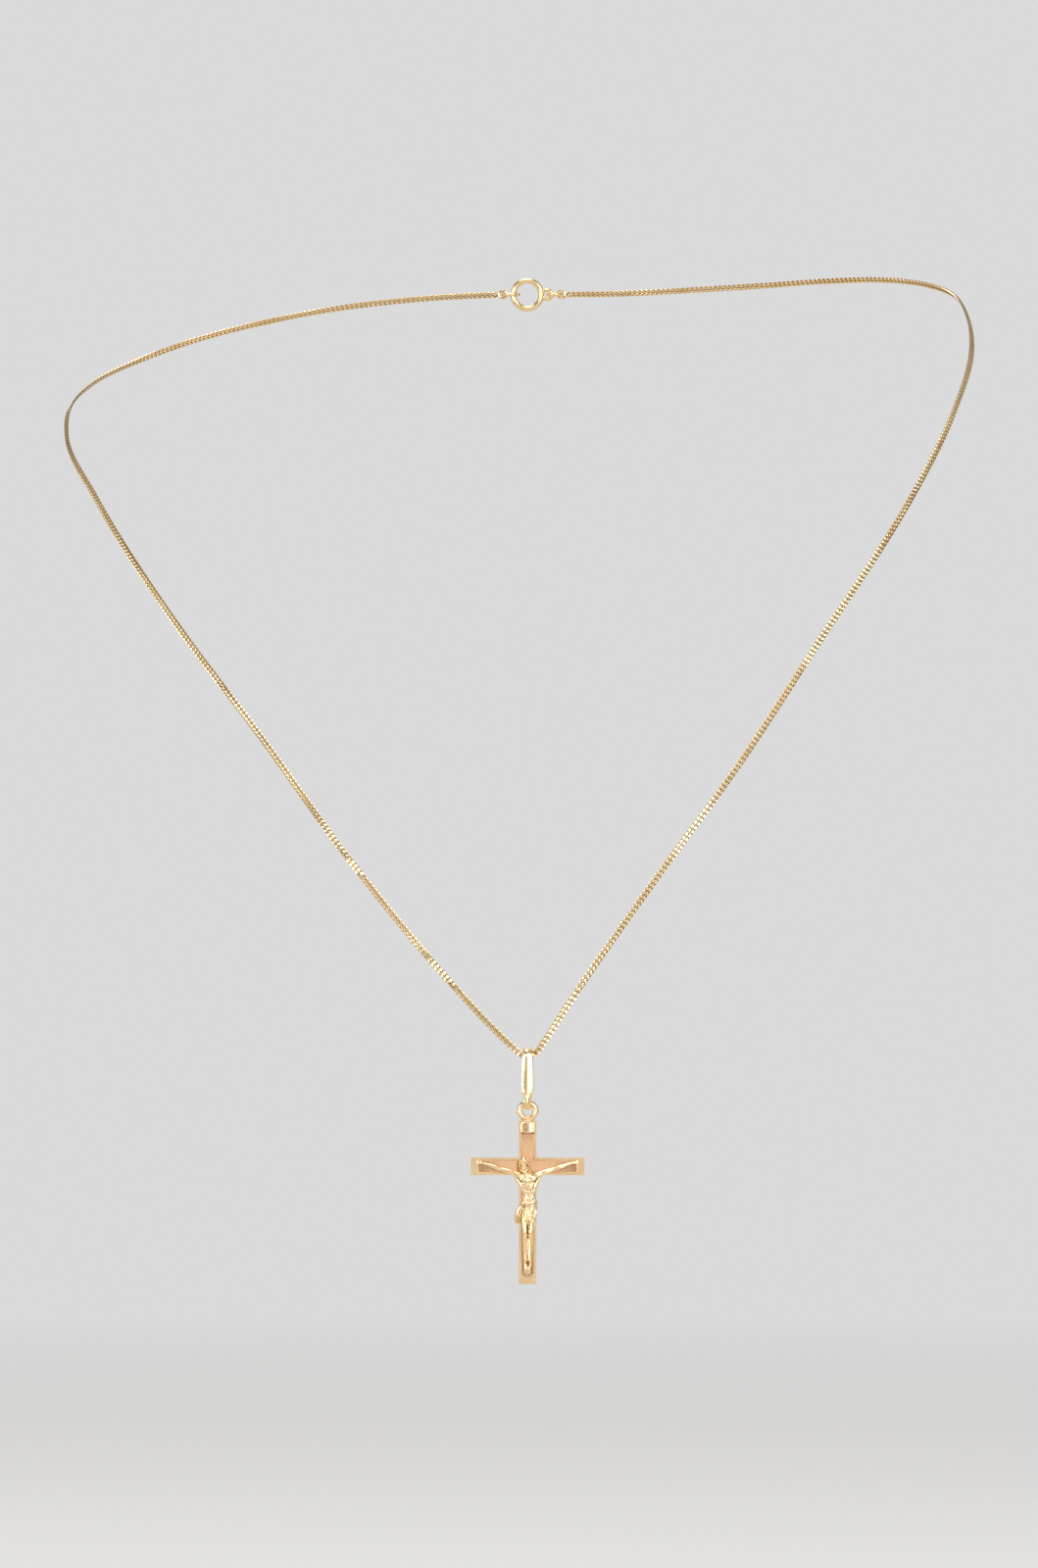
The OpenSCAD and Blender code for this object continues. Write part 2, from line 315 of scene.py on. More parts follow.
def finishPiece(name, mesh, material, body, replaced, sharpAngle):
    mesh.name = name
    mesh.transform(Matrix.Scale(mm, 4))
    mesh.shade_smooth()
    mesh.set_sharp_from_angle(angle=math.radians(sharpAngle))
    mesh.materials.clear()
    mesh.materials.append(material)
    piece = placed(name, mesh)
    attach(piece, body)
    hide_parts(replaced)
    print(name, "has", sum(len(face.vertices) - 2 for face in mesh.polygons), "triangles")


def eachOnce(items):
    # without repeats, in the order they come
    return list(dict.fromkeys(items))


def addTorus(bm, meanRadius, wire, centre, axis, turns, sides):
    before = set(bm.verts)
    section = bmesh.ops.create_circle(bm, segments=sides, radius=wire / 2)["verts"]
    bmesh.ops.rotate(bm, verts=section, cent=(0, 0, 0), matrix=Matrix.Rotation(math.radians(90), 3, "X"))
    bmesh.ops.translate(bm, verts=section, vec=(meanRadius, 0, 0))
    edges = eachOnce(edge for vert in section for edge in vert.link_edges)
    bmesh.ops.spin(
        bm, geom=section + edges, cent=(0, 0, 0), axis=(0, 0, 1), angle=math.tau, steps=turns, use_merge=True)
    ring = [vert for vert in bm.verts if vert not in before]
    turn = up.rotation_difference(Vector(axis)).to_matrix()
    bmesh.ops.rotate(bm, verts=ring, cent=(0, 0, 0), matrix=turn)
    bmesh.ops.translate(bm, verts=ring, vec=centre)
    bmesh.ops.recalc_face_normals(bm, faces=eachOnce(face for vert in ring for face in vert.link_faces))


# the chain's route, in millimetres, as in the part: clasp, left, bail, right, clasp
route = [
    (-4.45, 0, 0),
    (-14, -0.5, -0.5), (-28, -2.3, -2), (-41, -5.5, -4.5), (-52, -10, -7.5), (-61, -15.5, -11),
    (-67.5, -22, -14.5), (-71, -29, -18.5),
    (-71.3, -36, -23.2), (-66.3, -49, -33.2), (-54, -68, -52), (-40, -82, -70.5), (-26.5, -91, -89),
    (-12, -97, -106.5), (-4.3, -99.3, -114.7), (-2.4, -99.8, -116.5), (-1.2, -100, -117.5),
    (-0.5, -100, -117.9), (0, -100, -118), (0.5, -100, -117.9),
    (1.2, -100, -117.4), (2.6, -99.8, -115.6), (5.4, -99.3, -111.3), (18.5, -95.5, -92.5),
    (32, -90, -74), (44.5, -81.5, -55), (57, -70, -36), (65, -57, -21), (68.5, -45, -10.5),
    (68.3, -36, -5),
    (66.5, -28, -1.2), (62.5, -20.5, 0.8), (56, -14, 1.8), (47, -8.8, 1.8), (36.5, -4.8, 1.2),
    (25, -2, 0.6), (14, -0.5, 0.1),
    (5.95, 0, 0),
]
route = [Vector(point) for point in route]

chainLook = {
    "pitch": 0.75,  # from link to link, mm
    "halfLength": 0.56, "halfWidth": 0.31,  # of a link's centre line
    "twist": 0.21,  # how far the centre line leaves its plane
    "wire": 0.38,
    "flat": 0.175,  # the filed faces lie this far from the middle
    "unfiled": 0.75,  # the share of it below which the wire is round
    "innerShade": 0.75, "outerShade": 0.25,
    "round": 14, "sides": 6,
    "roll": 8,  # degrees by which the links roll to and fro along the chain
    "rollRates": (0.11, 0.263),  # radians from link to link, of a long and a short wave
    "glintsFrom": -85,  # y, mm: only the front of the loop has them
    "glints": [  # where the filed faces catch the light: x, half its spread, and the way they face
        (-26.0, 1.0, (-0.375, -0.925, 0.07)), (-13.0, 2.6, (-0.375, -0.925, 0.07)),
        (5.0, 2.4, (0.205, -0.978, 0.05)), (24.0, 1.2, (0.205, -0.978, 0.05)),
    ],
    "endRadius": 0.57, "endWire": 0.4, "endLeft": -3.88, "endRight": 5.38,
}


def heading(i):
    if i == 0:
        return (route[1] - route[0]).normalized()
    if i == len(route) - 1:
        return (route[i] - route[i - 1]).normalized()
    a = route[i] - route[i - 1]
    b = route[i + 1] - route[i]
    return (a.normalized() * b.length + b.normalized() * a.length).normalized()


def curvePoint(i, t):
    span = (route[i + 1] - route[i]).length
    h1 = 2 * t ** 3 - 3 * t ** 2 + 1
    h2 = t ** 3 - 2 * t ** 2 + t
    h3 = 3 * t ** 2 - 2 * t ** 3
    h4 = t ** 3 - t ** 2
    return h1 * route[i] + h2 * span * heading(i) + h3 * route[i + 1] + h4 * span * heading(i + 1)


def evenSteps(pitch, inset):
    # places along the route a whole number of equal steps apart, and the step
    fineSteps = 60
    trail = [curvePoint(i, k / fineSteps) for i in range(len(route) - 1) for k in range(fineSteps)]
    trail.append(route[-1])
    lengths = [0.0]
    for a, b in zip(trail, trail[1:]):
        lengths.append(lengths[-1] + (b - a).length)
    room = lengths[-1] - 2 * inset
    count = round(room / pitch)
    step = room / count
    places = []
    j = 0
    for k in range(count):
        wanted = inset + (k + 0.5) * step
        while lengths[j + 1] < wanted:
            j += 1
        share = (wanted - lengths[j]) / (lengths[j + 1] - lengths[j])
        places.append((trail[j].lerp(trail[j + 1], share), (trail[j + 1] - trail[j]).normalized()))
    print("the chain is", round(lengths[-1], 1), "mm long, in", count, "links")
    return places, step


def makeLink(stretch):
    # one filed curb link: a ring made oval, twisted and flattened on both faces
    look = chainLook
    bm = bmesh.new()
    addTorus(bm, 1.0, look["wire"], (0, 0, 0), up, look["round"], look["sides"])
    hollowShade = bm.verts.layers.float.new("hollowShade")
    for vert in bm.verts:
        angle = math.atan2(vert.co.y, vert.co.x)
        outward = Vector((math.cos(angle), math.sin(angle), 0))
        along = outward.dot(vert.co) - 1
        oval = Vector((look["halfLength"] * math.cos(angle), look["halfWidth"] * math.sin(angle), 0))
        square = Vector((math.cos(angle) / look["halfLength"], math.sin(angle) / look["halfWidth"], 0))
        place = oval + square.normalized() * along
        place.z = vert.co.z + look["twist"] * math.sin(2 * angle)
        vert[hollowShade] = 0.0
        # the round, unfiled parts of the wire get painted shade, darker on the inside of the link
        if abs(place.z) < look["flat"] * look["unfiled"]:
            inside = along < 0.02
            vert[hollowShade] = look["innerShade"] if inside else look["outerShade"]
        place.z = max(-look["flat"], min(look["flat"], place.z))
        place.x *= stretch
        vert.co = place
    return meshFrom(bm, "link")


outer = {  # which side of the chain is its outer one, lengths in mm
    "frontStart": 40, "frontReach": 45,  # in front of the clasp
    "middle": 50, "frontMiddle": -100,  # what it faces away from, in front of the clasp
    "lift": 0.35, "sideLift": 0.4, "sideStart": 20, "sideReach": 50,
}


def clamped(value):
    return max(0.0, min(1.0, value))


def outwardAt(point, tangent):
    # away from the middle of the loop, tilted up at the sides and straight forward in front
    front = clamped((-point.y - outer["frontStart"]) / outer["frontReach"])
    middle = outer["middle"] + (outer["frontMiddle"] - outer["middle"]) * front
    radial = Vector((point.x, point.y + middle, 0)).normalized()
    aside = clamped((abs(point.x) - outer["sideStart"]) / outer["sideReach"])
    rough = radial + up * (outer["lift"] + outer["sideLift"] * (1 - front) * aside)
    return (rough - tangent * rough.dot(tangent)).normalized()


def makeChain():
    look = chainLook
    places, step = evenSteps(look["pitch"], look["endWire"])
    link = makeLink(step / look["pitch"])
    bm = bmesh.new()
    slow, quick = look["rollRates"]
    for k, (point, tangent) in enumerate(places):
        roll = look["roll"] * (math.sin(k * slow) + 0.6 * math.sin(k * quick + 1.3))
        facing = Matrix.Rotation(math.radians(roll), 3, tangent) @ outwardAt(point, tangent)
        for x, spread, toward in look["glints"]:
            share = math.exp(-((point.x - x) / spread) ** 4) if point.y < look["glintsFrom"] else 0
            facing = facing.lerp(Vector(toward), share)
        facing = (facing - tangent * facing.dot(tangent)).normalized()
        side = facing.cross(tangent)
        turn = Matrix((tangent, side, facing)).transposed()
        addCopy(bm, link, Matrix.Translation(point) @ turn.to_4x4())
    for x in (look["endLeft"], look["endRight"]):
        addTorus(bm, look["endRadius"], look["endWire"], (x, 0, 0), (0, 1, 0), turns=28, sides=10)
    finishPiece("curb_chain", meshFrom(bm), chainGold, "necklace", "chain", sharpAngle=30)


makeChain()


# bail: a strip folded round the chain and the pendant's eye, with a crease down its front
bailLook = {
    "drop": 7.0, "topRadius": 1.0, "footRadius": 0.7, "thickness": 0.35,
    "crease": -0.18,  # how far left of the middle it runs, as a share of the width
    "creaseRise": 0.22,  # mm in front of the strip's edges
    "rounds": 160, "across": 8,  # faces once round and across
    "edge": 0.06,  # how far its edges are rounded
    "profile": [  # height from the chain, half width on the left, half width on the right
        (1.40, 0.60, 0.60), (0.80, 0.64, 0.64), (-0.4, 0.80, 0.80), (-1.8, 0.85, 0.85), (-3.4, 0.89, 0.88),
        (-4.5, 0.90, 0.89), (-5.3, 0.84, 0.80), (-6.0, 0.60, 0.62), (-6.6, 0.42, 0.47), (-7.2, 0.40, 0.40),
        (-8.1, 0.38, 0.38),
    ],
}


def alongTable(table, height):
    # a row of the table's other columns at a height, between its rows
    if height >= table[0][0]:
        return table[0][1:]
    for above, below in zip(table, table[1:]):
        if height >= below[0]:
            share = (above[0] - height) / (above[0] - below[0])
            share = share * share * (3 - 2 * share)
            return tuple(a + (b - a) * share for a, b in zip(above[1:], below[1:]))
    return table[-1][1:]


def bailPath(share, look):
    # a point and its outward direction on the strip's outer face, once round as seen from the side
    top = look["topRadius"] + look["thickness"]
    foot = look["footRadius"] + look["thickness"]
    tilt = math.asin((top - foot) / look["drop"])
    straight = look["drop"] * math.cos(tilt)
    arcs = [top * (math.pi + 2 * tilt), straight, foot * (math.pi - 2 * tilt), straight]
    away = (share % 1.0) * sum(arcs)
    if away < arcs[0]:
        angle = -tilt + away / top
        outward = Vector((0, math.cos(angle), math.sin(angle)))
        return outward * top, outward
    away -= arcs[0]
    if away < arcs[1]:
        outward = Vector((0, -math.cos(tilt), -math.sin(tilt)))
        return outward * top + Vector((0, math.sin(tilt), -math.cos(tilt))) * away, outward
    away -= arcs[1]
    if away < arcs[2]:
        angle = math.pi + tilt + away / foot
        outward = Vector((0, math.cos(angle), math.sin(angle)))
        return outward * foot - up * look["drop"], outward
    away -= arcs[2]
    outward = Vector((0, math.cos(tilt), -math.sin(tilt)))
    return outward * foot - up * look["drop"] + Vector((0, math.sin(tilt), math.cos(tilt))) * away, outward


def makeBail():
    look = bailLook
    bm = bmesh.new()
    bmesh.ops.create_grid(bm, x_segments=look["across"], y_segments=look["rounds"], size=0.5)
    for vert in bm.verts:
        width = vert.co.x * 2
        place, outward = bailPath(vert.co.y + 0.5, look)
        left, right = alongTable(look["profile"], place.z)
        x = width * (left if width < 0 else right)
        facet = 1 - look["crease"] if width > look["crease"] else 1 + look["crease"]
        fromCrease = abs(width - look["crease"]) / facet
        inFront = clamped(-outward.y * 1.5 - 0.3)  # 1 in front, 0 behind
        rise = look["creaseRise"] * (0.5 - fromCrease) * inFront
        vert.co = Vector((x, 0, 0)) + place + outward * rise
    bmesh.ops.remove_doubles(bm, verts=bm.verts, dist=0.001)
    bmesh.ops.recalc_face_normals(bm, faces=bm.faces)
    bmesh.ops.translate(bm, verts=bm.verts, vec=hang)
    mesh = applied(
        meshFrom(bm),
        ("SOLIDIFY", {"thickness": look["thickness"], "offset": -1, "use_even_offset": True}),
        softened(look["edge"], 60))
    finishPiece("folded_bail", mesh, bailGold, "hanging_bail", "bail", sharpAngle=25)


makeBail()


# crucifix: sizes in millimetres from the chain's centre in the bail, worked out from the frame
lowest, highest = [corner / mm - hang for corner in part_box("crucifix")]
cross = {
    "bar": 2.65, "depth": 1.1, "armDrop": 6.9,
    "rim": 0.35, "endBlock": 1.05, "fieldDip": 0.12, "fieldWall": 0.04,
    "footCurve": 0.80, "armCurve": 0.25,  # of the field's corners
    "chamfer": 0.10, "softness": 0.045,
    # the field's edge and the foot of the figure get painted shade
    "fieldSquare": 0.25, "edging": 0.13, "edgeShade": 0.45,
    "shadeReach": 0.38, "paintedShade": 0.55,  # along the foot of the figure
    "eyeRadius": 1.2, "eyeWire": 0.9, "eyeRoot": 0.2,
    "neckRadii": (0.52, 0.40), "neckHeight": 0.5, "neckRise": 0.05,
    "plateWidth": 2.3, "plateHeight": 1.5, "plateRise": 0.25, "plateDrop": 1.05, "plateRoot": 0.3,
    "rollRadius": 0.20, "rollHeights": (1.30, 1.42),  # of the plate's two ends
    "bulge": (0.6, -0.14, 0.1),  # its width, its depth and where it is across
}
eyeZ = highest.z - cross["eyeRadius"] - cross["eyeWire"] / 2
crossTop = eyeZ - cross["eyeRadius"] - cross["eyeWire"] / 2 + cross["eyeRoot"]
armZ = crossTop - cross["armDrop"]
faceY = -cross["depth"] / 2
fieldY = faceY + cross["fieldDip"]


def vertsOf(made):
    return [part for part in made["geom"] if isinstance(part, bmesh.types.BMVert)]


def drawOut(bm, start, direction, lengths):
    # the edge whose middle is nearest to the start is drawn out, once for each length
    def away(edge):
        return ((edge.verts[0].co + edge.verts[1].co) / 2 - start).length
    for length in lengths:
        made = bmesh.ops.extrude_edge_only(bm, edges=[min(bm.edges, key=away)])
        bmesh.ops.translate(bm, verts=vertsOf(made), vec=direction * length)
        start = start + direction * length


def bevelEdges(bm, edges, offset, segments):
    bmesh.ops.bevel(
        bm, geom=edges, offset=offset, offset_type="OFFSET", segments=segments, profile=0.5, affect="EDGES",
        material=-1, clamp_overlap=True)


def makeBars():
    # the two bars: a plus drawn out from its middle square, thickened, with the field sunk in the front
    half = cross["bar"] / 2
    plainEnd = cross["endBlock"] - cross["rim"]
    middle = Vector((0, faceY, armZ))
    right = Vector((1, 0, 0))
    bm = bmesh.new()
    hollowShade = bm.verts.layers.float.new("hollowShade")
    facing = Matrix.Translation(middle) @ Matrix.Rotation(math.radians(90), 4, "X")
    bmesh.ops.create_grid(bm, x_segments=1, y_segments=1, size=half, matrix=facing)
    drawOut(bm, middle + up * half, up, [cross["armDrop"] - half])
    drawOut(bm, middle + right * half, right, [highest.x - half - plainEnd, plainEnd])
    drawOut(bm, middle - right * half, -right, [-lowest.x - half - plainEnd, plainEnd])
    drawOut(bm, middle - up * half, -up, [armZ - half - lowest.z - plainEnd, plainEnd])
    back = vertsOf(bmesh.ops.extrude_face_region(bm, geom=bm.faces[:]))
    bmesh.ops.translate(bm, verts=back, vec=(0, cross["depth"], 0))
    bmesh.ops.recalc_face_normals(bm, faces=bm.faces)

    def isInner(face):
        middle = face.calc_center_median()
        inArm = abs(middle.x) < highest.x - plainEnd
        return face.normal.y < -0.9 and inArm and middle.z > lowest.z + plainEnd
    rimEdges = [
        edge for edge in bm.edges
        if sorted(round(face.normal.y) for face in edge.link_faces) == [-1, 0]]
    field = [face for face in bm.faces if isInner(face)]
    bmesh.ops.inset_region(bm, faces=field, thickness=cross["rim"], depth=0, use_even_offset=True)
    bmesh.ops.inset_region(
        bm, faces=field, thickness=cross["fieldWall"], depth=-cross["fieldDip"], use_even_offset=True)
    fieldVerts = {vert for face in field for vert in face.verts}

    def isFieldCorner(edge):
        a, b = edge.verts
        if (a in fieldVerts) == (b in fieldVerts) or abs(a.co.y - b.co.y) < cross["fieldDip"] / 2:
            return False
        inner = a if a in fieldVerts else b
        return inner.co.z < armZ - half or abs(inner.co.x) > half
    corners = [edge for edge in bm.edges if isFieldCorner(edge)]
    footCorners = [edge for edge in corners if edge.verts[0].co.z < armZ - half * 2]
    armCorners = [edge for edge in corners if edge not in footCorners]
    bevelEdges(bm, footCorners, cross["footCurve"], segments=6)
    bevelEdges(bm, [edge for edge in armCorners if edge.is_valid], cross["armCurve"], segments=3)
    bevelEdges(bm, [edge for edge in rimEdges if edge.is_valid], cross["chamfer"], segments=1)

    # the field is cut into small squares, so that its painted shade can follow the figure
    def sunk():
        return [face for face in bm.faces if abs(face.calc_center_median().y - fieldY) < 0.001]
    edging = {vert for face in sunk() for vert in face.verts}
    bmesh.ops.inset_region(bm, faces=sunk(), thickness=cross["edging"], depth=0, use_even_offset=True)
    # painted shade along the field's edge, at the foot of its wall
    for vert in edging:
        vert[hollowShade] = cross["edgeShade"]
    square = cross["fieldSquare"]
    for axis, low, high in ((right, lowest.x, highest.x), (up, lowest.z, highest.z)):
        for k in range(math.ceil(low / square), math.ceil(high / square)):
            faces = sunk()
            edges = eachOnce(edge for face in faces for edge in face.edges)
            bmesh.ops.bisect_plane(
                bm, geom=faces + edges, dist=0.0001, plane_co=axis * k * square, plane_no=axis)
    return applied(meshFrom(bm), softened(cross["softness"], 30))


def at(x, rise, z):
    # a point of the figure: rise is its height in front of the bars' face
    return Vector((x, faceY - rise, z))


def makeBall():
    bm = bmesh.new()
    bmesh.ops.create_uvsphere(bm, u_segments=16, v_segments=11, radius=1)
    return meshFrom(bm, "ball")


ball = makeBall()


def addBall(bm, x, rise, z, wide, deep, tall, lean=0):
    # an ellipsoid by its half sizes, leaning to the side by some degrees
    shape = Matrix.Diagonal((wide, deep, tall, 1))
    tilt = Euler((0, math.radians(lean), 0)).to_matrix().to_4x4()
    addCopy(bm, ball, Matrix.Translation(at(x, rise, z)) @ tilt @ shape)


closeness = {"limb": 0.45, "trunk": 0.35}  # how far apart the balls lie, as a share of their size


def smoothly(stations, spacing):
    # steps along a smooth curve through stations of four numbers
    points = [Vector(station) for station in stations]
    points = [points[0] * 2 - points[1]] + points + [points[-1] * 2 - points[-2]]
    for a, b, c, d in zip(points, points[1:], points[2:], points[3:]):
        steps = math.ceil((c - b).length / spacing)
        for k in range(steps + 1):
            t = k / steps
            yield 0.5 * (
                2 * b + (c - a) * t + (2 * a - 5 * b + 4 * c - d) * t ** 2 + (3 * b - a - 3 * c + d) * t ** 3)


def addLimb(bm, stations):
    # balls strung closely through stations of x, rise, height and radius
    spacing = closeness["limb"] * min(station[3] for station in stations)
    for x, rise, z, radius in smoothly(stations, spacing):
        addCopy(bm, ball, Matrix.Translation(at(x, rise, z)) @ Matrix.Scale(radius, 4))


def addTrunk(bm, stations, depth, tall):
    # flat balls stacked through stations of x, height, half width and the rise of the front
    for x, z, wide, rise in smoothly(stations, tall * closeness["trunk"]):
        addBall(bm, x, rise - wide * depth, z, wide, wide * depth, tall)


def addForms(bm, forms):
    for place in forms["balls"]:
        addBall(bm, *place)
    for limb in forms["limbs"]:
        addLimb(bm, limb)


def mirrored(stations):
    return [(-station[0], *station[1:]) for station in stations]


# trunks are x, height, half width and front rise, balls x, rise, height, half sizes and lean,
# limbs x, rise, height and radius, and marks width, depth and points (x, height)
bodyForms = {
    "trunk": [
        (-0.06, -17.8, 0.9, 0.72), (0.0, -18.15, 1.34, 0.9), (0.03, -18.72, 1.52, 1.02),
        (0.14, -19.5, 1.34, 1.04), (0.28, -20.25, 1.06, 0.92), (0.34, -20.9, 0.92, 0.86),
        (0.37, -21.5, 0.92, 0.9), (0.34, -22.3, 1.02, 0.92), (0.24, -23.4, 1.06, 0.9),
    ],
    "balls": [
        (-0.62, 0.66, -18.5, 0.76, 0.44, 0.46, 16),  # chest
        (0.68, 0.66, -18.48, 0.76, 0.44, 0.46, -16),
        (0.36, 0.52, -21.45, 0.62, 0.46, 0.6, 0),  # belly
        (-0.42, 1.0, -26.38, 0.27, 0.21, 0.3, 0),  # knees
        (0.41, 0.97, -26.44, 0.27, 0.21, 0.3, 0),
    ],
    "arm": [
        (0.7, 0.36, -18.2, 0.5), (1.42, 0.4, -17.9, 0.52), (2.1, 0.36, -17.58, 0.43),
        (2.8, 0.34, -17.32, 0.42), (3.6, 0.27, -17.06, 0.34), (4.1, 0.26, -16.93, 0.32),
        (4.8, 0.24, -16.68, 0.35), (5.7, 0.18, -16.36, 0.27), (6.55, 0.16, -16.1, 0.2),
        (6.85, 0.16, -16.04, 0.21),
    ],
    "limbs": [
        [(-0.12, 0.26, -18.1, 0.42), (-0.42, 0.3, -17.1, 0.34)],  # neck
        [(-1.78, 0.22, -18.02, 0.34), (-1.46, 0.3, -18.6, 0.36), (-1.08, 0.3, -19.4, 0.34),
         (-0.62, 0.26, -20.3, 0.26)],  # under the arms
        [(1.82, 0.22, -18.0, 0.34), (1.52, 0.3, -18.6, 0.36), (1.26, 0.3, -19.4, 0.34),
         (1.08, 0.26, -20.3, 0.26)],
        [(0.0, 0.5, -25.3, 0.3), (0.02, 0.5, -26.8, 0.3), (0.03, 0.6, -27.9, 0.3),
         (0.03, 0.52, -29.4, 0.28), (0.03, 0.44, -30.5, 0.22)],  # between the legs
        [(-0.4, 0.4, -23.6, 0.56), (-0.44, 0.6, -25.2, 0.51), (-0.38, 0.8, -26.4, 0.4),
         (-0.36, 0.6, -27.7, 0.41), (-0.31, 0.5, -29.2, 0.36), (-0.27, 0.46, -30.6, 0.32)],  # legs
        [(0.56, 0.4, -23.6, 0.56), (0.49, 0.58, -25.2, 0.51), (0.43, 0.78, -26.45, 0.4),
         (0.42, 0.58, -27.7, 0.4), (0.37, 0.5, -29.2, 0.36), (0.32, 0.48, -30.6, 0.32)],
    ],
    "marks": [
        (0.09, 0.05, (0.02, -17.95), (0.05, -18.6), (0.1, -19.2)),  # breastbone
        (0.1, 0.06, (-1.2, -18.72), (-0.6, -19.02), (0.0, -18.92),
         (0.1, -18.92), (0.7, -18.98), (1.28, -18.66)),  # under the chest
        (0.15, 0.12, (-1.06, -18.9), (-0.66, -19.4), (-0.26, -20.02)),  # sides of the rib cage
        (0.15, 0.12, (1.2, -18.86), (1.06, -19.4), (0.86, -19.96)),
        (0.1, 0.08, (-0.22, -20.02), (0.28, -20.16), (0.84, -19.96)),  # its lower edge
        (0.055, 0.035, (-0.66, -19.24), (-0.2, -19.34)),  # ribs
        (0.055, 0.035, (-0.5, -19.5), (-0.08, -19.6)), (0.055, 0.035, (-0.34, -19.75), (0.04, -19.84)),
        (0.055, 0.035, (0.98, -19.2), (0.46, -19.32)), (0.055, 0.035, (0.92, -19.46), (0.44, -19.58)),
        (0.055, 0.035, (0.84, -19.72), (0.42, -19.82)),
        (0.07, 0.035, (0.32, -20.28), (0.35, -20.9)),  # belly, navel and the hollow over the knot
        (0.085, 0.13, (0.35, -21.16)),
        (0.17, 0.15, (-0.04, -21.62)),
        (0.09, 0.05, (-0.5, -20.95), (-0.2, -21.6)), (0.09, 0.05, (1.2, -20.95), (0.98, -21.6)),
        (0.07, -0.05, (-0.3, -17.98), (-0.85, -17.88), (-1.35, -17.62)),  # collar bones
        (0.07, -0.05, (0.04, -17.98), (0.65, -17.88), (1.3, -17.62)),
        (0.12, 0.08, (-1.62, -18.16), (-1.3, -18.5)),  # armpits
        (0.12, 0.08, (1.66, -18.14), (1.38, -18.48)),
        (0.07, 0.035, (-1.55, -17.66), (-2.25, -17.5), (-3.2, -17.22)),  # arms
        (0.07, 0.035, (1.55, -17.66), (2.25, -17.5), (3.2, -17.22)),
        (0.06, 0.03, (-3.95, -16.9), (-5.4, -16.5)), (0.06, 0.03, (3.95, -16.9), (5.4, -16.5)),
        (0.1, 0.1, (0.01, -25.4), (0.02, -26.7)),  # between the legs
        (0.06, 0.035, (0.02, -26.9), (0.03, -30.5)),
        (0.1, 0.03, (-0.66, -26.66), (-0.39, -26.86), (-0.14, -26.66)),  # under the knees
        (0.1, 0.03, (0.18, -26.72), (0.43, -26.92), (0.68, -26.72)),
        (0.08, -0.03, (-0.38, -27.2), (-0.34, -28.6), (-0.28, -30.4)),  # shins
        (0.08, -0.03, (0.44, -27.2), (0.4, -28.6), (0.33, -30.4)),
    ],
}

